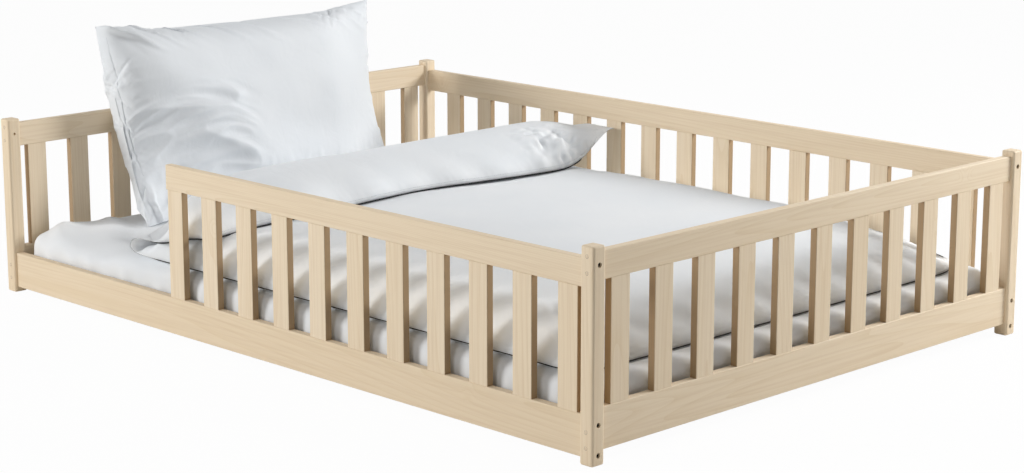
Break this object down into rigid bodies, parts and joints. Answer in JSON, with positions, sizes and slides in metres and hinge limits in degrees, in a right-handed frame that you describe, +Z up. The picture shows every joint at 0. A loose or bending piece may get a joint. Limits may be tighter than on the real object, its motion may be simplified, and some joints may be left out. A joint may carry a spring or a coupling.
{
  "type": "kids bed",
  "caption": "Low slatted wooden floor bed with a side entrance, posts, rails and slatted guards all round, dressed with mattress, fitted sheet, folded duvet and leaning pillow.",
  "frame": {"origin": "on the floor, under the middle of the bed", "axes": "+X along the bed from head to foot, -Y the front with the entrance, +Z up"},
  "size_m": [2.08, 1.48, 0.6562],
  "materials": {
    "pine": "satin",
    "base_pine": "matte",
    "beech": "matte",
    "zinc_steel": "satin",
    "black_steel": "satin",
    "webbing": "matte",
    "mattress_ticking": "matte",
    "cotton_sheet": "matte",
    "cotton_bedding": "matte"
  },
  "bodies": {
    "frame": {"post_head_front": "pine", "post_head_back": "pine", "post_foot_front": "pine", "post_foot_back": "pine", "head_bottom_rail": "pine", "head_top_rail": "pine", "head_slat_01": "pine", "head_slat_02": "pine", "head_slat_03": "pine", "head_slat_04": "pine", "head_slat_05": "pine", "head_slat_06": "pine", "head_slat_07": "pine", "head_slat_08": "pine", "head_slat_09": "pine", "head_slat_10": "pine", "head_slat_11": "pine", "foot_bottom_rail": "pine", "foot_top_rail": "pine", "foot_slat_01": "pine", "foot_slat_02": "pine", "foot_slat_03": "pine", "foot_slat_04": "pine", "foot_slat_05": "pine", "foot_slat_06": "pine", "foot_slat_07": "pine", "foot_slat_08": "pine", "foot_slat_09": "pine", "foot_slat_10": "pine", "foot_slat_11": "pine", "back_bottom_rail": "pine", "back_top_rail": "pine", "back_slats": "pine", "front_bottom_rail": "pine", "front_guard_rail": "pine", "front_slat_01": "pine", "front_slat_02": "pine", "front_slat_03": "pine", "front_slat_04": "pine", "front_slat_05": "pine", "front_slat_06": "pine", "front_slat_07": "pine", "front_slat_08": "pine", "front_slat_09": "pine", "front_slat_10": "pine", "front_slat_11": "pine", "side_bolts": "black_steel", "barrel_nuts": "zinc_steel", "end_dowels": "beech", "cleat_screws": "zinc_steel", "front_cleat": "base_pine", "back_cleat": "base_pine", "base_slats": "base_pine", "centre_beam": "base_pine", "beam_feet": "base_pine", "webbing_straps": "webbing"},
    "mattress": {"mattress": "mattress_ticking", "fitted_sheet": "cotton_sheet"},
    "duvet": {"duvet": "cotton_bedding"},
    "pillow": {"pillow": "cotton_bedding"}
  },
  "joints": [
    {"name": "mattress_lift", "type": "slide", "parent": "frame", "child": "mattress", "axis": [0, 0, 1], "range_m": [0, 0.45]},
    {"name": "duvet_lift", "type": "slide", "parent": "mattress", "child": "duvet", "axis": [0, 0, 1], "range_m": [0, 0.35]},
    {"name": "pillow_lift", "type": "slide", "parent": "mattress", "child": "pillow", "axis": [0, 0, 1], "range_m": [0, 0.35]}
  ]
}
